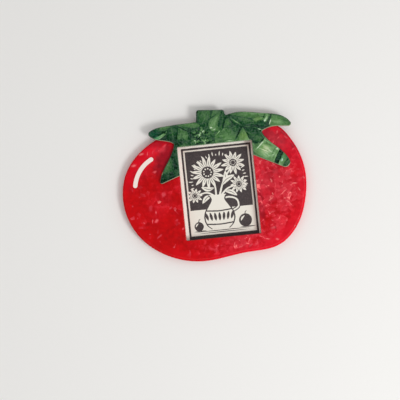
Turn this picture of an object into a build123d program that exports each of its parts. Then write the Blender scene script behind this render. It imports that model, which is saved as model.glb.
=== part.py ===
from build123d import *
import os

# Magnetic photo frame in the shape of a tomato, lying on its back. Millimetres.
# X runs across the frame, Y up it towards the stem, and Z out of its front.
# The pieces are drawn about the middle of the picture window and then moved, so that the
# origin lies under the middle of the whole outline, on the plane of the magnets' faces.

# Picture window, through both plates
window_width = 40.0
window_height = 50.0
window_corner_radius = 0.5
window_bevel = 0.3

# Red plate: its rims run from the window's edges to the furthest points of the outline
rim_left = 31.8
rim_right = 27.2
rim_bottom = 12.0
rim_top = 9.4
tomato_thickness = 4.0
tomato_front_radius = 1.5
tomato_back_radius = 0.5

# Green plate, bonded on the red one: its leaves reach out from the window's sides, rise above
# its top edge and drop below it
leaf_thickness = 1.5
leaf_left_reach = 15.2
leaf_right_reach = 23.1
leaf_rise = 15.7
leaf_drop = 19.0
leaf_edge_radius = 0.6
leaf_left_tip_radius = 1.7
leaf_right_tip_radius = 1.4
leaf_low_left_tip_radius = 1.0
leaf_low_right_tip_radius = 2.7
leaf_crotch_radius = 0.8
stem_reach = 18.9
stem_width = 14.8
stem_slant = 1.3
stem_shift = -0.6
stem_flare = 0.5
stem_left_foot = 12.6
stem_right_foot = 14.6
stem_corner_radius = 1.4

# White highlight, let into the front of the red plate
highlight_width = 2.3
highlight_depth = 1.2
highlight_clearance = 0.05

# Paper print, which slides behind the window between the magnets
print_side_lap = 0.75
print_end_lap = 3.0
print_thickness = 0.3
print_slip = 0.1
print_side_gap = 0.5

# Disc magnets in blind pockets, two each side of the window and inset from its ends
magnet_diameter = 10.0
magnet_thickness = 2.0
magnet_chamfer = 0.2
magnet_inset = 10.0
magnet_clearance = 0.1

# Outline of the red plate in half widths and half heights from its middle, anticlockwise
tomato_outline = [
    (1.00, 0.13),
    (0.953, 0.485),
    (0.86, 0.74),
    (0.772, 0.89),
    (0.44, 1.00),
    (0.05, 0.95),
    (-0.36, 0.97),
    (-0.70, 0.79),
    (-0.93, 0.45),
    (-1.00, 0.05),
    (-0.902, -0.455),
    (-0.61, -0.84),
    (-0.18, -1.00),
    (0.28, -0.93),
    (0.63, -0.87),
    (0.90, -0.49),
    (0.97, -0.21),
]

# Middle line of the highlight, in the same half widths and half heights
highlight_line = [(-0.65, 0.60), (-0.78, 0.45), (-0.85, 0.23)]

print_width = window_width + 2 * print_side_lap
print_height = window_height + 2 * print_end_lap
plate_back = print_thickness + 2 * print_slip
plate_front = plate_back + tomato_thickness
leaf_front = plate_front + leaf_thickness
magnet_x = print_width / 2 + print_side_gap + magnet_diameter / 2
magnet_y = window_height / 2 - magnet_inset

tomato_half_width = (rim_left + window_width + rim_right) / 2
tomato_half_height = (rim_bottom + window_height + rim_top) / 2
tomato_middle = Vector((rim_right - rim_left) / 2, (rim_top - rim_bottom) / 2)
outline_middle = Vector(tomato_middle.X, (stem_reach - rim_bottom) / 2)

window_top = Vector(0, window_height / 2)
window_top_left = Vector(-window_width / 2, window_height / 2)
window_top_right = Vector(window_width / 2, window_height / 2)


def on_tomato(across, up):
    return tomato_middle + Vector(across * tomato_half_width, up * tomato_half_height)


def nearest_uprights(solid, points):
    uprights = solid.edges().filter_by(Axis.Z)
    chosen = []
    for point in points:
        chosen.append(min(uprights, key=lambda edge: (edge.position_at(0) - point).length))
    return chosen


def front_edges(solid):
    return solid.faces().sort_by(Axis.Z)[-1].outer_wire().edges()


def back_edges(solid):
    return solid.faces().sort_by(Axis.Z)[0].outer_wire().edges()


def window_cutter(back, front):
    # The opening with its bevelled lip at the front
    shape = RectangleRounded(window_width, window_height, window_corner_radius)
    lip = offset(shape, window_bevel)
    opening = extrude(Pos(0, 0, back) * shape, front - back)
    flare = loft([Pos(0, 0, front - window_bevel) * shape, Pos(0, 0, front) * lip])
    return opening + flare


def highlight_shape(clearance):
    start, middle, end = [on_tomato(across, up) for across, up in highlight_line]
    return SlotArc(ThreePointArc(start, middle, end), highlight_width + 2 * clearance)


def magnet_places():
    places = {}
    for up_name, up in (("upper", 1), ("lower", -1)):
        for side_name, side in (("left", -1), ("right", 1)):
            places[f"magnet_{up_name}_{side_name}"] = Vector(side * magnet_x, up * magnet_y)
    return places


def tomato_plate():
    edge = Spline([on_tomato(across, up) for across, up in tomato_outline], periodic=True)
    plate = extrude(Pos(0, 0, plate_back) * make_face(edge), tomato_thickness)
    plate = fillet(front_edges(plate), tomato_front_radius)
    plate = fillet(back_edges(plate), tomato_back_radius)
    plate -= window_cutter(plate_back, plate_front)
    pocket = highlight_shape(highlight_clearance)
    plate -= extrude(Pos(0, 0, plate_front - highlight_depth) * pocket, highlight_depth)
    for place in magnet_places().values():
        pocket = Circle(magnet_diameter / 2 + magnet_clearance)
        plate -= extrude(Pos(place.X, place.Y, plate_back) * pocket, magnet_thickness - plate_back)
    return plate


def left_of_window(out, up):
    # A point of the left leaves, in shares of their reach, rise and drop
    return window_top_left + Vector(-out * leaf_left_reach, up * (leaf_rise if up > 0 else leaf_drop))


def right_of_window(out, up):
    # A point of the right leaves, in shares of their reach, rise and drop
    return window_top_right + Vector(out * leaf_right_reach, up * (leaf_rise if up > 0 else leaf_drop))


def leaf_outline():
    # The corners of the leaves' tips lie further out than the tips, which are rounded off
    left_tip = left_of_window(1.0, 0.57)
    left_crotch = left_of_window(0.10, 0.134)
    low_left_tip = left_of_window(0.735, -1.0)
    low_left_root = left_of_window(-0.395, -0.69)
    right_tip = right_of_window(0.985, 0.345)
    right_crotch = right_of_window(0.25, 0.26)
    low_right_tip = right_of_window(0.867, -0.958)
    low_right_root = right_of_window(-0.172, -0.312)
    # The stem is wider at its foot and leans down to the right at its top
    stem_middle = window_top + Vector(stem_shift, stem_reach)
    stem_top_left = stem_middle - Vector(stem_width / 2, 0)
    stem_top_right = stem_middle + Vector(stem_width / 2, -stem_slant)
    stem_foot = window_top + Vector(stem_shift, 0)
    stem_foot_left = stem_foot + Vector(-stem_width / 2 - stem_flare, stem_left_foot)
    stem_foot_right = stem_foot + Vector(stem_width / 2 + stem_flare, stem_right_foot)
    # Clockwise from the left tip; the two roots lie inside the window, which cuts them off
    edges = [
        Spline(
            left_tip,
            left_of_window(0.72, 0.71),
            left_of_window(0.40, 0.755),
            left_of_window(-0.03, 0.78),
            stem_foot_left,
        ),
        Line(stem_foot_left, stem_top_left),
        Line(stem_top_left, stem_top_right),
        Line(stem_top_right, stem_foot_right),
        Spline(
            stem_foot_right,
            right_of_window(-0.22, 1.0),
            right_of_window(0.30, 0.885),
            right_of_window(0.77, 0.71),
            right_tip,
        ),
        Spline(
            right_tip,
            right_of_window(0.69, 0.378),
            right_of_window(0.56, 0.39),
            right_of_window(0.372, 0.345),
            right_crotch,
        ),
        Spline(
            right_crotch,
            right_of_window(0.355, 0.0),
            right_of_window(0.636, -0.33),
            right_of_window(0.787, -0.553),
            low_right_tip,
        ),
        Line(low_right_tip, low_right_root),
        Line(low_right_root, low_left_root),
        Line(low_left_root, low_left_tip),
        Spline(
            low_left_tip,
            left_of_window(0.642, -0.725),
            left_of_window(0.32, -0.30),
            left_crotch,
        ),
        Spline(
            left_crotch,
            left_of_window(0.35, 0.245),
            left_of_window(0.64, 0.31),
            left_tip,
        ),
    ]
    rounding = [
        (leaf_left_tip_radius, [left_tip]),
        (leaf_right_tip_radius, [right_tip]),
        (leaf_low_left_tip_radius, [low_left_tip]),
        (leaf_low_right_tip_radius, [low_right_tip]),
        (stem_corner_radius, [stem_top_left, stem_top_right]),
        (leaf_crotch_radius, [left_crotch, right_crotch, stem_foot_left, stem_foot_right]),
    ]
    return edges, rounding


def leaf_plate():
    edges, rounding = leaf_outline()
    plate = extrude(make_face(edges), leaf_thickness)
    for radius, corners in rounding:
        plate = fillet(nearest_uprights(plate, corners), radius)
    plate = fillet(front_edges(plate), leaf_edge_radius)
    return Pos(0, 0, plate_front) * plate - window_cutter(plate_back, leaf_front)


def highlight_inlay():
    return extrude(Pos(0, 0, plate_front - highlight_depth) * highlight_shape(0), highlight_depth)


def magnet(place):
    disc = extrude(Pos(place.X, place.Y) * Circle(magnet_diameter / 2), magnet_thickness)
    return chamfer(disc.edges(), magnet_chamfer)


def photo_print():
    return extrude(Pos(0, 0, print_slip) * Rectangle(print_width, print_height), print_thickness)


pieces = {
    "tomato_plate": tomato_plate(),
    "leaf_plate": leaf_plate(),
    "highlight_inlay": highlight_inlay(),
    "photo_print": photo_print(),
}
for name, place in magnet_places().items():
    pieces[name] = magnet(place)

os.makedirs("parts", exist_ok=True)
for name, piece in pieces.items():
    placed = Pos(-outline_middle.X, -outline_middle.Y) * piece
    export_step(placed, f"parts/{name}.step")
    box = placed.bounding_box()
    print(name, [round(value, 3) for value in (*box.min, *box.max)])
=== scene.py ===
import math

import bmesh
import bpy
from mathutils import Matrix, Vector, noise
from mathutils.geometry import delaunay_2d_cdt


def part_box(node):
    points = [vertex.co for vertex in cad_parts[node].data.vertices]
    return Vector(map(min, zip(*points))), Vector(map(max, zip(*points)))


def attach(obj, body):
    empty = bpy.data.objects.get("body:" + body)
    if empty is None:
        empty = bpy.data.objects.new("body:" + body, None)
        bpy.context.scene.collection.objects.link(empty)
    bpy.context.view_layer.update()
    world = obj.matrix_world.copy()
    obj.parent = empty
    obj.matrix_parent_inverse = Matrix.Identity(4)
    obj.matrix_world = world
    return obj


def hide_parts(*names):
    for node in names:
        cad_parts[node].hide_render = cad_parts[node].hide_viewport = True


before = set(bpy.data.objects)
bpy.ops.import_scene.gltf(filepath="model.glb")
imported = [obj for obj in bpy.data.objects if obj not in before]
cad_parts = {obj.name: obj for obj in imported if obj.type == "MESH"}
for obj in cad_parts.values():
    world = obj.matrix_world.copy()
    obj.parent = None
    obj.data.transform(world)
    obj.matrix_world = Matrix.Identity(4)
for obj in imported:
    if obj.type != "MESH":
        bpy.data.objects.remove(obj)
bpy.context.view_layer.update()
mm = 0.001

printLow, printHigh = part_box("photo_print")
windowMiddle = (printLow + printHigh) / 2  # the print lies square behind the window
photoTurn = math.radians(-5.85)  # the photograph's own axes, against the frame's


def turned(across, up, out=0.0):  # from the photograph's axes to the frame's
    return Matrix.Rotation(photoTurn, 3, "Z") @ Vector((across, up, out))


class Sock:
    # One node socket: sums on sockets add Math nodes, and node() adds any other kind
    def __init__(self, socket):
        self.socket = socket

    def node(self, kind, settings=(), values=(), out=0):
        tree = self.socket.id_data
        made = tree.nodes.new("ShaderNode" + kind)
        for name, value in dict(settings).items():
            if name == "stops":
                setStops(made.color_ramp.elements, value)
            else:
                setattr(made, name, value)
        for place, value in dict(values).items():
            plug(tree, value, made.inputs[place])
        if isinstance(out, tuple):
            return [Sock(made.outputs[one]) for one in out]
        return Sock(made.outputs[out])

    def maths(self, operation, *parts):
        return self.node("Math", {"operation": operation}, dict(enumerate(parts)))

    def __add__(self, other):
        return self.maths("ADD", self, other)

    def __radd__(self, other):
        return self.maths("ADD", other, self)

    def __sub__(self, other):
        return self.maths("SUBTRACT", self, other)

    def __rsub__(self, other):
        return self.maths("SUBTRACT", other, self)

    def __mul__(self, other):
        return self.maths("MULTIPLY", self, other)

    def __rmul__(self, other):
        return self.maths("MULTIPLY", other, self)

    def __lt__(self, other):
        return self.maths("LESS_THAN", self, other)

    def __abs__(self):
        return self.maths("ABSOLUTE", self)

    def least(self, other):
        return self.maths("MINIMUM", self, other)

    def most(self, other):
        return self.maths("MAXIMUM", self, other)

    def blend(self, low, high):  # low where this mask is 0, high where it is 1
        return self.maths("MULTIPLY_ADD", self, high - low, low)

    def rise(self, start, end):  # 0 at start to 1 at end, eased
        settings = {"interpolation_type": "SMOOTHSTEP"}
        return self.node("MapRange", settings, {"Value": self, "From Min": start, "From Max": end})

    def vector(self, operation, other, out=0):
        return self.node("VectorMath", {"operation": operation}, {0: self, 1: other}, out)

    def scaled(self, factor):
        return self.node("VectorMath", {"operation": "SCALE"}, {"Vector": self, "Scale": factor})

    def length(self):
        return self.node("VectorMath", {"operation": "LENGTH"}, {0: self}, "Value")

    def dot(self, other):
        return self.vector("DOT_PRODUCT", other, "Value")

    def pick(self, low, high):  # vectors: low where this mask is 0, high where it is 1
        return self.node("Mix", {"data_type": "VECTOR"}, {0: self, 4: low, 5: high}, 1)

    def tint(self, low, high, way="MIX"):  # colours: low where this mask is 0, high where it is 1
        return self.node("Mix", {"data_type": "RGBA", "blend_type": way}, {0: self, 6: low, 7: high}, 2)

    def grain(self, size, detail, distortion=0.0, out="Fac"):  # soft noise with lumps of about that size
        values = {"Vector": self, "Scale": 1 / size, "Detail": detail, "Distortion": distortion}
        return self.node("TexNoise", {}, values, out)

    def mottle(self, size, detail, distortion=0.0):  # the same noise, to both sides of nothing
        return self.grain(size, detail, distortion) - 0.5

    def lean(self):  # a noise colour as a shift to any side
        return self.vector("SUBTRACT", (0.5, 0.5, 0.5))

    def stir(self, size, detail, reach):  # the place, shifted about by soft noise
        drift = self.grain(size, detail, out="Color").lean()
        return self.vector("ADD", drift.scaled(reach))

    def cells(self, size, out, feature="F1"):
        return self.node("TexVoronoi", {"feature": feature}, {"Vector": self, "Scale": 1 / size}, out)

    def tiles(self, size):  # broken tiles: each one's own luck, and how far up its slope the place lies
        luck, middle = self.cells(size, ("Color", "Position"))
        luck = luck.lean()
        return luck, self.vector("SUBTRACT", middle).dot(luck)

    def axes(self):
        return self.node("SeparateXYZ", {}, {0: self}, (0, 1, 2))

    def oval(self, across, up, turn, long, wide):  # the place in half lengths of an oval on the photograph
        spin = (0, 0, math.radians(turn) + photoTurn)
        size = (long, wide, 1e6)  # the same at any depth
        values = {"Vector": self, "Location": turned(across, up), "Rotation": spin, "Scale": size}
        return self.node("Mapping", {"vector_type": "TEXTURE"}, values)

    def bump(self, strength, depth):
        return self.node("Bump", {}, {"Strength": strength, "Distance": depth, "Height": self})


def plug(tree, value, socket):
    if isinstance(value, Sock):
        tree.links.new(value.socket, socket)
    else:
        socket.default_value = value


def setStops(elements, stops):
    for step, (at, colour) in enumerate(stops):
        stop = elements[step] if step < len(elements) else elements.new(at)
        stop.position = at
        stop.color = colour


def shown(red, green, blue):  # a colour as it is seen on a screen, 0 to 255
    colour = []
    for value in (red / 255, green / 255, blue / 255):
        colour.append(value / 12.92 if value <= 0.04045 else ((value + 0.055) / 1.055) ** 2.4)
    return colour + [1.0]


def newMaterial(name):
    # The material, its shader, and the place on the surface in millimetres from the window's middle
    material = bpy.data.materials.new(name)
    material.use_nodes = True
    tree = material.node_tree
    coords = Sock(tree.nodes.new("ShaderNodeTexCoord").outputs["Object"])
    place = coords.vector("SUBTRACT", windowMiddle).scaled(1 / mm)
    return material, tree.nodes["Principled BSDF"], place


def feed(shader, sockets):
    for name, value in sockets.items():
        plug(shader.id_data, value, shader.inputs[name])


def polish(shader, roughness):
    # The clear polished skin of acetate, the same all over
    feed(shader, {"Coat Roughness": roughness, "Coat IOR": 1.48, "Specular IOR Level": 0.06})


# Green pearl acetate: folded facets, each with its own sheen. Places are in millimetres along the
# photograph's axes, from the window's middle
leafLook = {
    "tones": [
        (0.00, (12, 46, 32)),
        (0.25, (44, 82, 54)),
        (0.50, (84, 126, 76)),
        (0.78, (138, 181, 124)),
        (1.00, (220, 238, 212)),
    ],
    "teal": (150, 235, 255),
    "straw": (255, 240, 170),
    # rim: a painted highlight on the rounded rim's lower sides; wall: a paler colour on the window's walls
    # as a painted reflection
    "rim": (196, 200, 164),
    "wall": (140, 176, 142),
    "spark": 0.16,
    "sparkSize": 0.9,
    "wobble": 0.35,
    "wobbleSize": 4.0,
    "shardSize": 3.0,
    "shardShift": 0.5,
    "creaseWidth": 0.09,
    "creaseTone": 0.6,
    # how much each finer pattern shows: bowed middles, slivers, shards and brush marks
    "bow": 0.14,
    "sliver": 0.20,
    "shard": 0.10,
    "brush": 0.24,
    "dim": 0.06,
    "layerStep": 60.0,
    "sliverStretch": (0.8, 1.7, 0.0),  # along and across the facet
    "sliverLuck": 0.4,
    "sliverSlope": 1.2,
    "shardFineness": 2.7,
    "brushStretch": (0.5, 3.0, 0.0),
    "crushSize": 1.7,
    "crushLuck": 0.5,
    "crushSlope": 0.8,
    "crushDim": 0.03,
    # how far the painted shade on the rim's upper sides, the painted highlight on its lower sides and the
    # painted reflection on the window's walls cover the colour
    "rimShade": 0.5,
    "rimLight": 0.6,
    "wallCover": 0.85,
    "pearl": 0.3,
    "roughness": 0.38,
    "rippleSize": 5.0,
    "ripple": (0.25, 0.0002),  # strength, and depth in metres
    "skin": 0.04,
    # across, up, turn in degrees, half length, half width, tone, rise along, rise across
    "facets": [
        (-36.4, 29.6, 15, 3.6, 1.8, 0.15, 0.05, 0.0),
        (-30.2, 32.6, 18, 5.0, 1.3, 0.34, 0.05, 0.08),
        (-31.4, 28.8, 24, 3.8, 0.6, 0.48, -0.05, -0.2),
        (-25.4, 30.4, 100, 4.2, 3.2, 0.20, 0.05, -0.05),
        (-18.8, 29.4, 92, 4.8, 3.2, 0.37, -0.06, 0.08),
        (-15.8, 34.6, -2, 6.0, 1.3, 0.46, 0.06, 0.06),
        (-9.4, 28.8, 10, 5.4, 4.6, 0.34, 0.0, 0.0),
        (-8.8, 39.6, 85, 5.6, 3.2, 0.29, 0.04, -0.06),
        (-2.2, 37.2, 69, 5.4, 2.1, 0.48, -0.12, 0.06),
        (1.6, 37.6, 84, 6.0, 1.5, 0.20, 0.05, 0.05),
        (3.0, 39.4, 20, 2.6, 1.4, 0.14, 0.0, 0.0),
        (4.6, 36.0, 70, 2.4, 1.6, 0.36, 0.05, 0.0),
        (4.6, 29.9, 14, 5.8, 3.4, 0.46, -0.04, -0.10),
        (8.7, 33.0, 70, 2.8, 2.2, 0.22, -0.05, 0.0),
        (9.0, 37.0, -36, 4.4, 1.8, 0.24, 0.0, 0.08),
        (12.8, 29.4, 88, 4.4, 2.8, 0.56, -0.10, -0.10),
        (17.2, 30.6, -32, 5.6, 2.6, 0.20, 0.06, 0.0),
        (15.4, 40.2, -2, 8.6, 1.8, 0.46, 0.10, 0.14),
        (15.0, 36.8, -10, 7.6, 1.8, 0.25, -0.08, 0.06),
        (22.6, 35.4, -8, 3.4, 1.6, 0.20, 0.0, 0.05),
        (20.6, 38.0, 8, 3.0, 1.2, 0.54, 0.06, 0.0),
        (25.0, 38.4, 60, 2.6, 0.7, 0.74, -0.1, 0.1),
        (26.7, 37.4, 66, 3.4, 0.8, 0.10, 0.0, 0.0),
        (31.6, 37.5, -10, 5.6, 3.2, 0.48, -0.02, -0.06),
        (20.6, 28.2, -60, 3.6, 3.0, 0.27, 0.05, 0.05),
        (25.4, 22.4, -35, 6.4, 4.2, 0.68, 0.02, 0.10),
        (31.8, 18.0, 72, 4.2, 1.2, 0.04, 0.0, 0.0),
        (34.5, 17.6, 68, 3.6, 1.4, 0.56, -0.1, 0.08),
        (37.0, 15.0, 50, 2.8, 1.3, 0.26, 0.05, 0.0),
        (-23.0, 18.4, 96, 8.4, 1.9, 0.10, 0.05, -0.04),
        (-27.2, 11.8, 62, 4.6, 2.2, 0.30, 0.06, 0.06),
        (-28.4, 6.6, 14, 5.0, 1.7, 0.04, 0.0, 0.05),
        (-22.6, 9.6, 80, 3.0, 1.6, 0.19, 0.0, 0.0),
    ],
    # across, up, turn, half length, half width, and how far the tone is raised or sunk
    "strokes": [
        (-30.6, 29.4, 26, 3.2, 0.30, 0.22),
        (-28.2, 31.0, 70, 1.2, 0.30, 0.35),
        (-20.0, 33.0, -25, 4.0, 0.34, -0.60),
        (-15.2, 29.6, 92, 3.6, 0.35, -0.35),
        (-16.6, 28.0, 95, 3.4, 0.25, 0.12),
        (-12.6, 28.8, 60, 1.3, 0.30, 0.55),
        (-8.6, 31.4, 40, 1.6, 0.26, 0.50),
        (-7.2, 27.4, 70, 1.5, 0.28, 0.45),
        (-8.0, 24.9, 15, 2.0, 0.36, 0.55),
        (-12.8, 25.8, 110, 1.6, 0.30, 0.45),
        (-10.6, 27.0, 150, 1.6, 0.50, -0.35),
        (-9.4, 31.0, 140, 1.4, 0.35, -0.40),
        (-3.6, 39.2, 34, 3.4, 0.45, -0.22),
        (-8.6, 36.6, 68, 2.6, 0.50, 0.16),
        (-4.2, 33.4, 10, 0.8, 0.55, 0.50),
        (-2.6, 32.4, 30, 0.9, 0.40, 0.40),
        (-0.4, 30.9, 50, 2.0, 0.35, 0.45),
        (8.9, 36.6, -34, 2.8, 0.28, 0.42),
        (10.2, 30.4, 64, 4.4, 0.50, -0.42),
        (5.4, 26.4, 6, 2.6, 0.28, 0.40),
        (15.2, 34.1, -3, 2.6, 0.25, 0.26),
        (20.0, 33.2, -14, 1.8, 0.25, 0.25),
        (21.7, 32.6, -10, 1.2, 0.40, 0.75),
        (23.8, 39.4, 66, 1.8, 0.35, -0.40),
        (24.5, 37.3, 20, 0.7, 0.40, 0.60),
        (27.2, 36.5, 68, 1.7, 0.32, 0.80),
        (34.2, 37.4, -10, 1.6, 1.00, -0.12),
        (21.4, 23.8, 47, 3.4, 0.30, 0.40),
        (25.0, 19.4, -25, 4.4, 2.20, 0.20),
        (29.9, 17.8, 68, 2.2, 0.45, 0.24),
        (23.6, 21.6, -22, 4.4, 0.25, 0.24),
        (29.0, 21.0, 62, 3.4, 0.28, -0.22),
        (27.6, 18.6, 12, 2.6, 0.40, 0.14),
        (22.6, 26.4, 47, 2.4, 0.35, -0.30),
        (29.0, 19.0, 56, 2.4, 0.45, 0.16),
        (26.0, 25.8, -38, 2.6, 0.35, 0.20),
        (31.0, 22.4, 40, 0.9, 0.60, 0.35),
        (33.6, 16.2, 75, 1.1, 0.50, 0.40),
        (-30.3, 8.8, 80, 1.2, 0.30, 0.60),
        (-20.4, 25.8, 10, 3.0, 2.00, -0.18),
        (0.6, 32.8, 20, 3.0, 2.00, 0.20),
        (-0.2, 27.2, 10, 2.6, 1.60, -0.13),
        (19.6, 24.4, 40, 2.6, 1.60, -0.14),
        (25.8, 25.4, -35, 3.4, 1.60, -0.22),
        (25.2, 22.8, -40, 2.6, 1.50, 0.10),
    ],
    # across, up, half width, and how straw yellow or, below nothing, how teal
    "hues": [
        (-35.0, 29.6, 5.0, -0.9),
        (22.4, 35.2, 4.0, -0.3),
        (33.0, 17.6, 3.0, -0.5),
        (13.0, 29.0, 4.0, 0.45),
        (24.6, 22.4, 4.0, 0.35),
        (20.6, 38.0, 3.0, 0.40),
    ],
    # across, up and reach of the crumpled knot
    "crumple": (-9.6, 28.4, 6.4),
}


def facetField(place, facets):
    # Each point belongs to the facet whose oval is nearest. Gives the facet's tone and rises, the
    # point in the facet's own half lengths, its share of the way out, and the step to the next facet
    near, second, own, nature = None, None, None, None
    for across, up, turn, long, wide, *facet in facets:
        local = place.oval(across, up, turn, long, wide)
        distance = local.length()
        if near is None:
            near, own, nature = distance, local, facet
            continue
        nearer = distance < near
        further = distance.most(near)
        second = further if second is None else second.least(further)
        own = nearer.pick(own, local)
        nature = nearer.pick(nature, facet)
        near = near.least(distance)
    return nature, own, near, second - near


def facing(place):  # which way the surface looks, in the frame's axes
    return place.node("TexCoord", {}, {}, "Normal").axes()


windowReach = (20.6, 25.6)  # half the window with its bevel, in millimetres


def inWindow(place):  # 1 on the walls of the window and their bevel
    x, y, _ = place.axes()
    return (abs(x) - windowReach[0]).most(abs(y) - windowReach[1]) < 0.0


def greenAcetate():
    look = leafLook
    material, shader, place = newMaterial("green_pearl_acetate")
    warped = place.stir(look["wobbleSize"], 4.0, 2 * look["wobble"])
    jolt = warped.cells(look["shardSize"], "Color").lean()
    broken = warped.vector("ADD", jolt.scaled(look["shardShift"]))  # facets break along straight sides
    nature, own, near, gap = facetField(broken, look["facets"])
    level, along, across = nature.axes()
    ownX, ownY, _ = own.axes()

    layer = place.node("CombineXYZ", {}, {2: level * look["layerStep"]})  # no two facets share a pattern
    stretched = own.vector("MULTIPLY", look["sliverStretch"]).vector("ADD", layer)
    luck, slope = stretched.tiles(1.0)
    sliver = luck.axes()[0] * look["sliverLuck"] + slope * look["sliverSlope"]
    shard = stretched.scaled(look["shardFineness"]).cells(1.0, "Color").axes()[0] - 0.5
    brushed = own.vector("MULTIPLY", look["brushStretch"]).vector("ADD", layer).mottle(1.0, 3.0, 0.4)
    x, y, reach = look["crumple"]
    crumple = place.oval(x, y, 0, reach, reach).length().rise(1.0, 0.4)
    luck, slope = warped.tiles(look["crushSize"])
    crushed = luck.axes()[1] * look["crushLuck"] + slope * look["crushSlope"] - look["crushDim"]

    sheen = level + ownX * along + ownY * across + near.rise(1.2, 0.2) * look["bow"] - look["dim"]
    sheen = sheen + sliver * look["sliver"] + shard * look["shard"] + brushed * look["brush"]
    crease = gap.rise(0.0, look["creaseWidth"])  # facets darken where they meet
    sheen = (sheen + crumple * crushed) * crease.blend(look["creaseTone"], 1.0)
    for *spot, change in look["strokes"]:
        sheen = sheen + warped.oval(*spot).length().rise(1.25, 0.25) * change

    stops = [(at, shown(*rgb)) for at, rgb in look["tones"]]
    colour = sheen.node("ValToRGB", {"stops": stops}, {0: sheen})
    for x, y, half, hue in look["hues"]:
        spot = place.oval(x, y, 0, half, half).length().rise(1.0, 0.2) * abs(hue)
        colour = spot.tint(colour, shown(*look["straw" if hue > 0 else "teal"]), "MULTIPLY")
    spark = place.mottle(look["sparkSize"], 3.0)
    colour = colour.vector("ADD", spark * look["spark"]).vector("MAXIMUM", (0.0, 0.0, 0.0))

    outX, outY, outZ = facing(place)
    wall = inWindow(place) * outZ.rise(0.9, 0.5)
    rim = outZ.rise(0.97, 0.75) - wall
    lit = (outX * 0.35 - outY).rise(0.1, 0.8) * outZ.rise(0.02, 0.35) - wall  # the lower edges catch light
    # painted shade on the rim's upper sides in the darkest tone, a painted highlight on its lower sides, and
    # a painted reflection on the window's walls
    colour = (rim * (1.0 - lit) * look["rimShade"]).tint(colour, shown(*look["tones"][0][1]))
    colour = (rim * lit * look["rimLight"]).tint(colour, shown(*look["rim"]))
    colour = (wall * look["wallCover"]).tint(colour, shown(*look["wall"]))
    ripple = place.grain(look["rippleSize"], 1.0).bump(*look["ripple"])
    feed(shader, {"Base Color": colour, "Roughness": look["roughness"], "Normal": ripple})
    feed(shader, {"Metallic": sheen.rise(0.3, 1.0) * look["pearl"], "Coat Weight": 1.0 - rim * 0.5})
    polish(shader, look["skin"])
    return material


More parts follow.
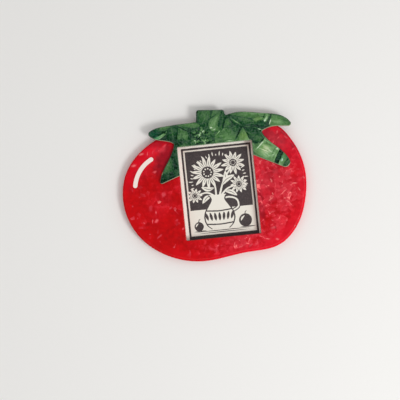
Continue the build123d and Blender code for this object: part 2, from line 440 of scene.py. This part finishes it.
# Red pearl acetate: crushed flakes in a clear deep red, crowded on the right and few on the left
tomatoLook = {
    "deep": (194, 6, 12),
    "clear": (217, 13, 37),
    "haze": (220, 60, 74),
    # fold: the palest pink, for painted light along raised flake sides and in the glints, and for the
    # brightest flecks
    "fold": (255, 122, 120),
    # the colour of the painted shade beside the leaves and along the window's right side, and of small
    # darker blotches in the flakes
    "shadeAndBlotch": (148, 18, 36),
    # rim and deepRim: the clear rim's own red where flakes crowd and where they are few; on the rounded edge
    # they also stand for a painted glow of light through the edge
    "rim": (230, 12, 40),
    "deepRim": (206, 6, 14),
    # wall and sideWall: the window's walls, darker on the top and bottom walls as painted shade and paler on
    # the side walls as a painted reflection
    "wall": (120, 30, 26),
    "sideWall": (206, 96, 90),
    "flakeSize": 6.2,
    "smallFlakeSize": 2.604,
    "crumbSize": 2.7,
    "cloudSize": 11.0,
    "patchSize": 2.4,
    "spark": 0.38,
    "sparkSize": 1.9,
    "swell": 0.45,
    "swellSize": 6.5,
    "crowdSpan": (-30.0, 20.0),  # from where flakes are few to where they crowd, across the frame
    "crowdDrift": 40.0,
    # size, detail and reach of the shifts that bend the flakes' sides
    "stirs": [(4.0, 2.0, 2.2), (1.0, 3.0, 0.5)],
    "smallFlakeShift": (7.0, 3.0, 5.0),
    # where the flakes stop, the sheen sinks and the rim's colour starts, in shares of the way out to
    # the oval below, and how far clouds and patches move that
    "flakesStop": (0.98, 0.90),
    "sheenSinks": (0.80, 1.10),
    "rimStarts": (0.78, 1.02),
    "rimDrift": 0.30,
    "stopDrift": 0.06,
    # what makes up a flake's tone
    "largeTone": 0.5,
    "smallTone": 0.4,
    "patchTone": 1.2,
    # what makes up the sheen; a pair is where flakes are few and where they crowd
    "crowdSheen": 0.36,
    "cloudSheen": 0.4,
    "pearlSheen": 0.4,
    "toneSheen": (0.12, 0.42),
    "foldSheen": (0.2, 0.75),
    "largeFold": 0.7,
    "smallFold": 0.5,
    "sheenSink": 0.30,
    # lone flecks between the crowded flakes: the luck they need, and their sheen
    "fleckSpan": (0.30, 0.50),
    "fleckDrift": 0.4,
    "fleckSheen": 0.31,
    "fleckTone": 0.5,
    "fleckFade": 0.9,
    "glintGain": 1.1,
    # what makes the ground clearer, and the sheen that haze and folds take
    "crowdClear": 0.8,
    "cloudClear": 0.4,
    "patchClear": 0.6,
    "hazeSpan": (0.0, 0.75),
    "foldSpan": (0.50, 1.05),
    "toneShade": (0.20, 0.32),
    # what is left of tone, folds and shade in the clear rim, and how far the rim's red, with its painted
    # glow on the rounded edge, and the walls' painted shade and reflection cover the colour
    "rimTone": 0.4,
    "rimFolds": 0.1,
    "rimShade": 0.35,
    "rimCover": 0.85,
    "rimPatch": 0.3,
    "edgeCover": 0.82,
    "wallCover": 0.85,
    "roughness": 0.40,
    "rippleSize": 6.0,
    "ripple": (0.25, 0.0002),  # strength, and depth in metres
    "skin": 0.04,
    # across, up, turn in degrees, half length, half width and depth of the darker clouds: painted shade
    # beside the leaves and along the window's right side, and small darker blotches in the flakes
    "shadesAndBlotches": [
        (-29.5, 17.0, 70, 13.0, 6.0, 0.8),
        (28.0, 28.8, -34, 10.0, 4.8, 0.8),
        (39.0, 25.5, -52, 14.0, 6.5, 0.4),
        (22.3, -6.0, 96, 17.0, 2.2, 0.6),
        (-33.0, 25.2, 22, 7.0, 2.6, 0.5),
        (34.2, 31.0, -50, 3.2, 1.3, 0.6),
        (32.8, 26.4, -40, 2.2, 1.3, 0.6),
        (39.2, 24.0, -55, 2.2, 1.2, 0.6),
    ],
    # across, up, turn in degrees, half length, half width, and how much pearl a cloud adds or takes
    "clouds": [
        (-42.0, 14.0, 57, 20.0, 8.0, 0.65),
        (-32.0, 23.0, 25, 10.0, 5.0, 0.50),
        (-32.0, -8.0, 80, 12.0, 7.0, 0.30),
        (31.0, 29.0, -38, 11.0, 6.0, 0.55),
        (27.0, 5.0, 80, 8.0, 7.0, 0.40),
        (24.6, -18.4, 85, 8.0, 4.5, -0.60),
        (40.0, -12.0, 70, 12.0, 5.0, -0.30),
        (30.0, -10.8, 80, 6.5, 5.0, -0.55),
        (35.5, -15.5, 60, 4.5, 3.0, -0.35),
        (17.8, -26.6, 8, 4.6, 2.6, -0.55),
        (40.6, 10.3, 60, 5.0, 3.5, -0.40),
        (27.4, -4.6, 30, 4.0, 2.5, 0.75),
    ],
    # across, up, turn in degrees, half length, half width, brightness of the flakes that stand out
    "glints": [
        (34.4, -1.2, 39, 3.8, 0.40, 0.85),
        (35.2, -4.4, 20, 0.9, 0.50, 0.85),
        (28.0, -4.4, 32, 2.0, 0.45, 0.90),
        (28.8, -1.8, 120, 1.0, 0.45, 0.95),
        (32.3, 7.2, 60, 0.6, 0.50, 1.00),
        (27.8, 5.4, 115, 1.4, 0.60, 0.92),
        (22.7, 5.7, 30, 1.2, 0.90, 0.70),
        (40.2, 4.2, 5, 2.0, 0.50, 0.92),
        (42.8, 0.9, 128, 1.6, 0.35, 0.80),
        (45.6, 7.2, 170, 1.2, 0.60, 0.60),
        (36.8, -6.1, 0, 0.8, 0.60, 0.60),
        (31.4, -15.8, 20, 4.0, 2.80, 0.30),
        (29.4, -19.8, 10, 2.2, 0.90, 0.62),
        (26.0, -26.0, 172, 1.7, 0.50, 0.80),
        (31.0, -26.2, 20, 1.4, 0.70, 0.70),
        (16.6, -26.2, 40, 1.0, 0.60, 0.34),
        (17.0, -29.4, 55, 1.8, 0.60, 0.55),
        (30.0, 9.8, 30, 2.6, 2.20, 0.45),
        (36.9, 9.8, 60, 2.8, 2.30, 0.50),
        (23.6, 9.4, 120, 2.2, 1.60, 0.42),
        (-29.4, -2.4, 75, 2.0, 1.20, 0.58),
        (-32.7, -5.5, 0, 0.7, 0.50, 0.50),
        (-33.7, -11.8, 85, 1.0, 0.60, 0.72),
        (-33.4, -16.2, 60, 1.3, 1.00, 0.70),
        (-35.5, -16.6, 85, 1.1, 0.45, 0.72),
        (-39.8, -17.5, 130, 0.7, 0.50, 0.65),
        (-46.0, -9.0, 0, 0.7, 0.60, 0.50),
        (-45.6, 13.5, 10, 1.7, 1.00, 0.78),
        (-41.9, 19.6, 20, 1.7, 1.15, 0.82),
        (-34.3, 10.0, 25, 1.3, 0.85, 0.68),
        (-31.6, -24.9, 48, 2.2, 0.60, 0.55),
        (-36.4, -9.6, 80, 2.2, 1.20, 0.42),
        (-25.8, -9.2, 35, 1.2, 0.60, 0.55),
        (-22.7, -16.3, 60, 0.9, 0.60, 0.46),
        (-19.4, -21.0, 40, 0.8, 0.60, 0.60),
        (-30.5, 21.5, 40, 3.0, 1.80, 0.40),
        (-36.0, 16.8, 60, 1.0, 0.40, 0.55),
        (-38.5, 19.8, 84, 1.6, 0.40, 0.66),
        (-35.4, 20.4, 80, 1.3, 0.45, 0.52),
        (-32.3, 21.2, 35, 1.0, 0.45, 0.58),
        (-29.4, 23.4, 60, 1.8, 0.80, 0.55),
        (31.0, 31.3, 82, 1.5, 0.50, 0.62),
        (31.9, 28.0, 62, 1.3, 0.55, 0.58),
        (35.6, 28.6, -48, 1.6, 0.60, 0.55),
        (39.4, 22.2, 45, 1.2, 0.50, 0.55),
    ],
    # middle, half width and half height of the oval that the clear rim follows
    "oval": (-2.2, -1.4, 49.4, 35.8),
}


def flakes(place, size):  # crushed flakes: the tone of each, its slope and its luck
    luck, slope = place.tiles(size)
    slope = slope * (2.8 / size)
    return luck.axes()[0] * 0.8 + slope * 0.7, slope, luck.axes()[2]


def folds(place, size, slope):  # light along the raised sides of flakes
    return place.cells(size, "Distance", "DISTANCE_TO_EDGE").rise(0.13, 0.0) * slope.rise(0.0, 0.5)


def redAcetate():
    look = tomatoLook
    material, shader, place = newMaterial("red_pearl_acetate")
    warped = place
    for size, detail, reach in look["stirs"]:
        warped = warped.stir(size, detail, reach)
    shifted = warped.vector("ADD", look["smallFlakeShift"])  # small flakes don't follow the large ones
    cloud = place.mottle(look["cloudSize"], 3.0)
    patch = place.mottle(look["patchSize"], 3.0)
    spark = place.mottle(look["sparkSize"], 2.0)
    swell = place.mottle(look["swellSize"], 2.0, 0.6)
    x, y, halfWidth, halfHeight = look["oval"]
    out = place.oval(x, y, -math.degrees(photoTurn), halfWidth, halfHeight).length()
    out = out + cloud * look["rimDrift"]
    crowd = (place.axes()[0] + cloud * look["crowdDrift"]).rise(*look["crowdSpan"])
    inner = (out + patch * look["stopDrift"]).rise(*look["flakesStop"])  # 0 in the clear rim

    large, largeSlope, _ = flakes(warped, look["flakeSize"])
    small, smallSlope, _ = flakes(shifted, look["smallFlakeSize"])
    crumb, _, luck = flakes(warped, look["crumbSize"])
    tone = large * look["largeTone"] + small * look["smallTone"] + patch * look["patchTone"]
    pearl = 0.0
    for *spot, change in look["clouds"]:
        pearl = (place.oval(*spot).length() + patch).rise(1.2, 0.2) * change + pearl
    sheen = crowd * look["crowdSheen"] + cloud * look["cloudSheen"]
    sheen = sheen + tone * crowd.blend(*look["toneSheen"]) * inner.blend(look["rimTone"], 1.0)
    sheen = sheen - out.rise(*look["sheenSinks"]) * look["sheenSink"] + pearl * look["pearlSheen"]
    fold = folds(warped, look["flakeSize"], largeSlope) * look["largeFold"]
    crease = folds(shifted, look["smallFlakeSize"], smallSlope) * look["smallFold"]
    folded = fold.most(crease) * crowd.blend(*look["foldSheen"]) * inner.blend(look["rimFolds"], 1.0)
    sheen = sheen + folded * (patch * 3.0 + 0.5).rise(0.2, 0.9)  # folds show in patches
    fleck = (luck + cloud * look["fleckDrift"]).rise(*look["fleckSpan"])
    fleck = fleck * (crumb * look["fleckTone"] + look["fleckSheen"]) * (1.0 - crowd * look["fleckFade"])
    sheen = sheen.most(fleck).most(0.0)
    for *spot, bright in look["glints"]:
        sheen = sheen.most(warped.oval(*spot).length().rise(1.3, 0.3) * (bright * look["glintGain"]))

    clear = crowd * look["crowdClear"] + cloud * look["cloudClear"] + patch * look["patchClear"] + pearl
    ground = clear.tint(shown(*look["deep"]), shown(*look["clear"]))
    rim = (crowd + pearl).tint(shown(*look["deepRim"]), shown(*look["rim"]))
    cover = out.rise(*look["rimStarts"]) * look["rimCover"] + patch * look["rimPatch"]
    ground = cover.tint(ground, rim)
    # painted shade beside the leaves and along the window's right side, with a few darker blotches, laid on
    # the ground and the rim
    for *spot, depth in look["shadesAndBlotches"]:
        shadeAndBlotch = (place.oval(*spot).length() + patch).rise(1.1, 0.3) * depth
        ground = shadeAndBlotch.tint(ground, shown(*look["shadeAndBlotch"]))
        rim = shadeAndBlotch.tint(rim, shown(*look["shadeAndBlotch"]))
    body = sheen.rise(*look["hazeSpan"]).tint(ground, shown(*look["haze"]))
    shade = tone * crowd.blend(*look["toneShade"]) + spark * look["spark"]
    shade = shade * inner.blend(look["rimShade"], 1.0) + swell * look["swell"] + 1.0
    colour = sheen.rise(*look["foldSpan"]).tint(body, shown(*look["fold"])).scaled(shade)

    outX, _, outZ = facing(place)
    window = inWindow(place)
    edge = outZ.rise(0.98, 0.6)
    # the rounded edge takes the rim's red as a painted glow of light through the edge
    colour = (edge * (look["edgeCover"] + patch)).tint(colour, rim)
    # painted shade on the top and bottom walls of the window, a painted reflection on its side walls
    wall = abs(outX).rise(0.3, 0.8).tint(shown(*look["wall"]), shown(*look["sideWall"]))
    colour = (window * edge * (look["wallCover"] + patch)).tint(colour, wall)
    dull = outZ.rise(0.998, 0.95) * (1.0 - window)  # the rounded rim
    ripple = place.grain(look["rippleSize"], 1.0).bump(*look["ripple"])
    feed(shader, {"Base Color": colour, "Roughness": look["roughness"], "Normal": ripple})
    feed(shader, {"Coat Weight": 1.0 - dull})
    polish(shader, look["skin"])
    return material


# Warm white acetate of the highlight
highlightLook = {"milk": (254, 240, 232), "shade": (248, 230, 220), "roughness": 0.35, "skin": 0.05}


def whiteAcetate():
    look = highlightLook
    material, shader, place = newMaterial("warm_white_acetate")
    colour = place.grain(2.5, 3.0).tint(shown(*look["shade"]), shown(*look["milk"]))
    feed(shader, {"Base Color": colour, "Roughness": look["roughness"], "Coat Weight": 1.0})
    polish(shader, look["skin"])
    return material


# Nickel plate of the magnets, with fine straight scratches
magnetLook = {"bright": (206, 202, 194), "dull": (168, 163, 154), "roughness": 0.12}


def nickelPlate():
    look = magnetLook
    material, shader, place = newMaterial("nickel_plate")
    cloud = place.grain(3.0, 4.0)
    scratch = place.vector("MULTIPLY", (0.4, 6.0, 1.0)).grain(0.5, 3.0)
    colour = (cloud * 0.7 + scratch * 0.3).tint(shown(*look["dull"]), shown(*look["bright"]))
    roughness = cloud * 0.16 + scratch * 0.12 + look["roughness"]
    feed(shader, {"Base Color": colour, "Metallic": 1.0, "Roughness": roughness})
    return material


# Paper and ink of the print
printLook = {
    "paper": (243, 239, 229),
    "fibre": (234, 229, 216),
    # the paper's white border, whiter than the paper: partly its own colour, partly painted light against
    # the shade of the window's walls
    "margin": (253, 255, 244),
    "marginFrom": (18.0, 23.2),  # across and up from the window's middle
    "ink": (50, 42, 44),
    "thin": (84, 72, 72),
    "roughness": 0.5,
}


def printPaper():
    look = printLook
    material, shader, place = newMaterial("print_paper")
    fibre = place.vector("MULTIPLY", (1.0, 2.2, 1.0)).grain(0.5, 4.0, 0.6)
    cloud = place.grain(9.0, 2.0)
    colour = (fibre * 0.6 + cloud * 0.4).tint(shown(*look["fibre"]), shown(*look["paper"]))
    x, y, _ = place.axes()
    marginX, marginY = look["marginFrom"]
    bare = (abs(x) - marginX).most(abs(y) - marginY).rise(0.0, 0.5)
    # the border whitened, partly as painted light against the shade of the window's walls
    colour = bare.tint(colour, shown(*look["margin"]))
    roughness = fibre * 0.15 + look["roughness"]
    feed(shader, {"Base Color": colour, "Roughness": roughness, "Normal": fibre.bump(0.2, 0.00004)})
    return material


def printInk():
    look = printLook
    material, shader, place = newMaterial("print_ink")
    worn = place.grain(0.7, 4.0).rise(0.42, 0.72)
    patch = place.grain(6.0, 2.0)
    colour = (worn * 0.7 + patch * 0.3).tint(shown(*look["ink"]), shown(*look["thin"]))
    feed(shader, {"Base Color": colour, "Roughness": worn * 0.2 + look["roughness"]})
    return material


print("materials")
redStock = redAcetate()
greenStock = greenAcetate()
whiteStock = whiteAcetate()
nickel = nickelPlate()
paper = printPaper()
ink = printInk()


def dress(node, material):
    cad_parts[node].material_slots[0].material = material


dress("tomato_plate", redStock)
dress("leaf_plate", greenStock)
dress("highlight_inlay", whiteStock)
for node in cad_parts:
    if node.startswith("magnet_"):
        dress(node, nickel)


def newObject(name, data):
    made = bpy.data.objects.new(name, data)
    bpy.context.scene.collection.objects.link(made)
    return made


# Block print of a jug of flowers, in millimetres from the window's middle
artLook = {
    "border": (-18.3, -25.8, 19.35, 24.15),
    "borderLine": 1.1,
    "borderFoot": 2.5,
    "borderGap": 0.8,
    "tableLine": -9.5,
    "tableMarks": (-21.3, -22.2),
    "wobble": 0.09,
    "seed": 3,
    # a fan of short cuts round the flowers, with turns in degrees
    "cuts": {"middle": (0.3, 5.5), "reach": (13.6, 13.2), "count": 31, "start": -20, "sweep": 220},
    "cutLength": 2.0,
    "cutHalf": 0.28,
    "stemWidths": (1.0, 0.7),
    "veinHalf": 0.16,
    "petalFullness": 0.78,
    "petalVeinHalf": 0.14,
    "seeds": 9,
    # petals, then the disc they stand on
    "flowers": [
        {"middle": (-5.2, 10.2), "reach": 8.9, "disc": 3.3, "petals": 15, "turn": 6},
        {"middle": (9.0, 14.2), "reach": 6.3, "disc": 2.0, "petals": 12, "turn": 10},
        {"middle": (11.0, 2.4), "reach": 4.9, "disc": 1.6, "petals": 11, "turn": 20},
        {"middle": (-13.2, -1.6), "reach": 4.2, "disc": 1.4, "petals": 10, "turn": 0},
    ],
    "stems": [
        [(-1.8, -2.5), (-2.0, 3.0), (-4.6, 9.0)],
        [(0.2, -2.5), (3.0, 5.0), (8.2, 12.6)],
        [(1.2, -2.5), (4.6, 0.6), (9.8, 2.2)],
        [(-3.0, -2.5), (-6.6, -0.6), (-12.0, -1.5)],
    ],
    # start, end, half width, bend
    "leaves": [
        ((2.2, 3.4), (4.4, 10.4), 1.2, -0.9),
        ((1.8, 2.6), (9.2, 7.6), 1.3, 0.9),
        ((-2.4, 1.6), (-9.4, 2.6), 1.2, 0.9),
        ((3.0, -0.6), (9.6, -3.6), 1.2, 0.8),
        ((-4.0, -2.2), (-9.6, -6.2), 1.2, -0.8),
    ],
    "jugMiddle": -1.0,
    "jug": [
        (4.4, -20.4),
        (6.7, -18.2),
        (7.8, -14.8),
        (7.2, -11.2),
        (5.2, -7.8),
        (3.6, -5.2),
        (3.7, -3.6),
        (4.7, -2.2),
    ],
    "jugLine": 0.6,
    "jugBands": [-17.6, -10.4],
    "bandWidth": 0.7,
    "bandSag": 0.5,
    "jugLeaves": {"foot": -16.2, "step": 2.05, "length": 4.6, "half": 0.75},
    "handleWidths": (2.0, 0.9),
    "handle": [(6.0, -11.6), (9.6, -9.4), (9.0, -5.6), (5.6, -4.0), (2.6, -4.2)],
    # middle and size of each round fruit
    "fruit": [(12.6, -17.2, 3.5), (-12.6, -18.4, 2.5)],
}


def smoothLine(points, steps=8):  # an easy curve through the points
    ends = [points[0], *points, points[-1]]
    line = []
    for one in range(len(points) - 1):
        p0, p1, p2, p3 = [Vector(point) for point in ends[one : one + 4]]
        for step in range(steps):
            t = step / steps
            line.append(
                0.5 * (2 * p1 + (p2 - p0) * t + (2 * p0 - 5 * p1 + 4 * p2 - p3) * t**2)
                + 0.5 * (3 * p1 - p0 - 3 * p2 + p3) * t**3
            )
    return line + [Vector(points[-1])]


def ribbon(points, startWidth, endWidth):
    line = smoothLine(points)
    left, right = [], []
    for step, point in enumerate(line):
        ahead = line[min(step + 1, len(line) - 1)] - line[max(step - 1, 0)]
        side = Vector((-ahead.y, ahead.x)).normalized()
        half = (startWidth + (endWidth - startWidth) * step / (len(line) - 1)) / 2
        left.append(point + side * half)
        right.append(point - side * half)
    return left + right[::-1]


def blade(start, end, half, bend, steps=9):  # pointed at both ends
    start, end = Vector(start), Vector(end)
    side = Vector((start.y - end.y, end.x - start.x)).normalized()
    left, right = [], []
    for step in range(steps + 1):
        share = step / steps
        swell = math.sin(math.pi * share)
        middle = start.lerp(end, share) + side * bend * swell
        left.append(middle + side * half * swell**0.75)
        right.append(middle - side * half * swell**0.75)
    return left[:-1] + [end] + right[-2:0:-1]


def disc(x, y, radius, count=26):
    turns = [2 * math.pi * step / count for step in range(count)]
    return [Vector((x + radius * math.cos(turn), y + radius * math.sin(turn))) for turn in turns]


def block(left, low, right, high):
    corners = [Vector(corner) for corner in ((left, low), (right, low), (right, high), (left, high))]
    outline = []
    for one, corner in enumerate(corners):
        steps = 24
        outline += [corner.lerp(corners[(one + 1) % 4], step / steps) for step in range(steps)]
    return outline


def heading(turn):  # one millimetre that way
    return Vector((math.cos(turn), math.sin(turn)))


def jugShape(grow):
    side = smoothLine([(half + grow, y) for half, y in artLook["jug"]])
    across = Vector((artLook["jugMiddle"], 0))
    mirrored = [Vector((-point.x, point.y)) for point in side[::-1]]
    return [across + point for point in side + mirrored]


def jugHalf(height):
    side = smoothLine(artLook["jug"])
    return min(side, key=lambda point: abs(point.y - height)).x


# Each of these gives shapes in the order that they are cut: True takes ink, False is bare paper
def drawGround():
    look = artLook
    left, low, right, high = look["border"]
    line = look["borderLine"]
    gap = line + look["borderGap"]
    yield True, block(left, low, right, high)
    yield False, block(left + line, low + look["borderFoot"], right - line, high - line)
    yield True, block(left + gap, look["tableLine"], right - gap, high - gap)
    fan = look["cuts"]
    for step in range(fan["count"]):
        toward = heading(math.radians(fan["start"] + fan["sweep"] * step / (fan["count"] - 1)))
        reachX, reachY = fan["reach"]
        start = Vector(fan["middle"]) + Vector((toward.x * reachX, toward.y * reachY))
        length = look["cutLength"] + 0.8 * math.sin(step * 2.4)
        yield False, blade(start, start + toward * length, look["cutHalf"], 0.1)


def drawStems():
    for points in artLook["stems"]:
        yield False, ribbon(points, *artLook["stemWidths"])
    for start, end, half, bend in artLook["leaves"]:
        yield False, blade(start, end, half, bend)
        yield True, blade(start, Vector(start).lerp(Vector(end), 0.85), artLook["veinHalf"], bend)


def drawFlower(flower):
    middle = Vector(flower["middle"])
    core, petals = flower["disc"], flower["petals"]
    half = artLook["petalFullness"] * math.pi * flower["reach"] * 0.62 / petals
    for petal in range(petals):
        toward = heading(math.radians(flower["turn"]) + 2 * math.pi * petal / petals)
        reach = flower["reach"] * (1 + 0.06 * math.sin(petal * 2.3))
        yield False, blade(middle + toward * core * 0.6, middle + toward * reach, half, 0.0)
        vein = middle + toward * core, middle + toward * reach * 0.72
        yield True, blade(*vein, artLook["petalVeinHalf"], 0.0)
    yield True, disc(*middle, core)
    seeds = artLook["seeds"]
    for seed in range(seeds):
        spot = middle + heading(2 * math.pi * seed / seeds) * core * 0.62
        yield False, disc(*spot, core * 0.13, 8)


def drawJug():
    look = artLook
    middle = look["jugMiddle"]
    outer, core = look["handleWidths"]
    yield True, ribbon(look["handle"], outer, outer)
    yield False, ribbon(look["handle"], core, core)
    yield True, jugShape(look["jugLine"])
    yield False, jugShape(-0.1)
    for height in look["jugBands"]:
        half = jugHalf(height)
        band = [(middle - half, height), (middle, height - look["bandSag"]), (middle + half, height)]
        yield True, ribbon(band, look["bandWidth"], look["bandWidth"])
    leaf = look["jugLeaves"]
    for step in range(-3, 4):  # leaves painted round the jug
        foot = Vector((middle + step * leaf["step"], leaf["foot"] + 0.05 * step * step))
        yield True, blade(foot, foot + Vector((0.5 * step, leaf["length"])), leaf["half"], 0.0)


def drawFruit(x, y, size):
    yield True, disc(x, y, size)
    shine = (x - size * 0.7, y - size * 0.1), (x - size * 0.05, y + size * 0.7)
    yield False, blade(*shine, size * 0.14, size * 0.12)
    yield True, ribbon([(x, y + size * 0.9), (x + 0.3, y + size + 0.9), (x + 1.0, y + size + 1.5)], 0.5, 0.3)
    yield True, blade((x - size, y - size), (x + size * 1.6, y - size), 0.3, 0.0)


def drawTable():
    left, _, right, _ = artLook["border"]
    for step, y in enumerate(artLook["tableMarks"]):
        yield True, blade((left + 2.0 + 2 * step, y), (right - 3.0 - step, y), 0.22, 0.0)


def drawPrint():
    art = [*drawGround(), *drawStems()]
    for flower in artLook["flowers"]:
        art += drawFlower(flower)
    art += drawJug()
    for fruit in artLook["fruit"]:
        art += drawFruit(*fruit)
    return art + list(drawTable())


def anticlockwise(outline):
    area = sum(a.cross(b) for a, b in zip(outline, outline[1:] + outline[:1]))
    return outline if area > 0 else outline[::-1]


def waver(point):  # printed edges are cut by hand
    shake = noise.noise_vector(Vector((point.x, point.y, 0.5))) * artLook["wobble"]
    return point + shake.xy


def makePrint():
    noise.seed_set(artLook["seed"])
    half = (printHigh - printLow) / (2 * mm)
    sheet = [(-half.x, -half.y), (half.x, -half.y), (half.x, half.y), (-half.x, half.y)]
    shapes = [(False, [Vector(corner) for corner in sheet])]
    for inked, outline in drawPrint():
        shapes.append((inked, [waver(point) for point in anticlockwise(outline)]))
    points, faces = [], []
    for _, outline in shapes:
        faces.append(list(range(len(points), len(points) + len(outline))))
        points += outline
    made = delaunay_2d_cdt(points, [], faces, 1, 1e-5)
    flat, triangles, owners = made[0], made[2], made[5]

    mesh = bmesh.new()
    middle = windowMiddle
    top = [mesh.verts.new((middle.x + p.x * mm, middle.y + p.y * mm, printHigh.z)) for p in flat]
    for triangle, owner in zip(triangles, owners):
        face = mesh.faces.new([top[corner] for corner in triangle])
        face.material_index = int(shapes[max(owner)][0])  # the shape that was cut last
    corners = top[:4]  # the sheet's own corners come first
    low = [mesh.verts.new((vert.co.x, vert.co.y, printLow.z)) for vert in corners]
    for one in range(4):
        other = (one + 1) % 4
        mesh.faces.new((low[one], low[other], corners[other], corners[one]))
    mesh.faces.new(low[::-1])
    data = bpy.data.meshes.new("print")
    mesh.to_mesh(data)
    mesh.free()
    data.materials.append(paper)
    data.materials.append(ink)
    piece = newObject("print_sheet", data)
    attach(piece, "print")
    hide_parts("photo_print")


makePrint()
print("print")

# Light, floor and camera. Across and up follow the photograph, which is turned against the frame
stageLook = {
    "floor": (240, 239, 237),
    "floorHalf": 3.0,
    "floorTooth": 0.985,
    "keyPlace": (0.46, -0.27, 0.56),
    "keySize": 0.26,
    "keyPower": 2.4,
    "skyColour": (1.0, 0.995, 0.985, 1.0),
    "sky": 0.80,
    "horizon": 0.55,
    "horizonRise": (-0.1, 0.5),
    "overhead": 0.06,
    "overheadPlace": (-0.16, 0.04, 1.0),  # the unlit ceiling, a little to the left
    "overheadRise": (0.004, 0.16),
    "cameraLens": 100.0,
    "cameraSensor": 36.0,
    "viewWidth": 0.214,
    "viewMiddle": (-10.7, -4.1),  # from the window's middle
}


def makeFloor():
    look = stageLook
    mesh = bpy.data.meshes.new("floor")
    half = look["floorHalf"]
    corners = [(-half, -half, 0), (half, -half, 0), (half, half, 0), (-half, half, 0)]
    mesh.from_pydata(corners, [], [(0, 1, 2, 3)])
    floor = newObject("floor", mesh)
    material, shader, place = newMaterial("pale_floor")
    pale = shown(*look["floor"])
    shade = [value * look["floorTooth"] for value in pale[:3]] + [1.0]
    feed(shader, {"Base Color": place.grain(1.2, 3.0).tint(shade, pale), "Roughness": 0.8})
    mesh.materials.append(material)


def makeLight():
    look = stageLook
    world = bpy.data.worlds.new("studio")
    bpy.context.scene.world = world
    world.use_nodes = True
    tree = world.node_tree
    toSky = Sock(tree.nodes.new("ShaderNodeTexCoord").outputs["Generated"])
    away = 1.0 - toSky.dot(turned(*look["overheadPlace"]).normalized())
    level = toSky.axes()[2].rise(*look["horizonRise"]).blend(look["horizon"], 1.0)
    strength = away.rise(*look["overheadRise"]).blend(look["overhead"], look["sky"]) * level
    feed(tree.nodes["Background"], {"Color": look["skyColour"], "Strength": strength})

    lamp = bpy.data.lights.new("key", "AREA")
    lamp.shape = "DISK"
    lamp.size = look["keySize"]
    lamp.energy = look["keyPower"]
    key = newObject("key", lamp)
    key.location = turned(*look["keyPlace"])
    key.rotation_euler = (-key.location).to_track_quat("-Z", "Y").to_euler()


def makeCamera():
    look = stageLook
    data = bpy.data.cameras.new("camera")
    data.lens = look["cameraLens"]
    data.sensor_width = look["cameraSensor"]
    camera = newObject("camera", data)
    distance = look["viewWidth"] * look["cameraLens"] / data.sensor_width
    across, up = look["viewMiddle"]
    x, y = windowMiddle.x + across * mm, windowMiddle.y + up * mm
    camera.location = (x, y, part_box("tomato_plate")[1].z + distance)
    camera.rotation_euler = (0, 0, photoTurn)
    bpy.context.scene.camera = camera


makeFloor()
makeLight()
makeCamera()
bpy.context.scene.view_settings.view_transform = "Standard"
print("stage")
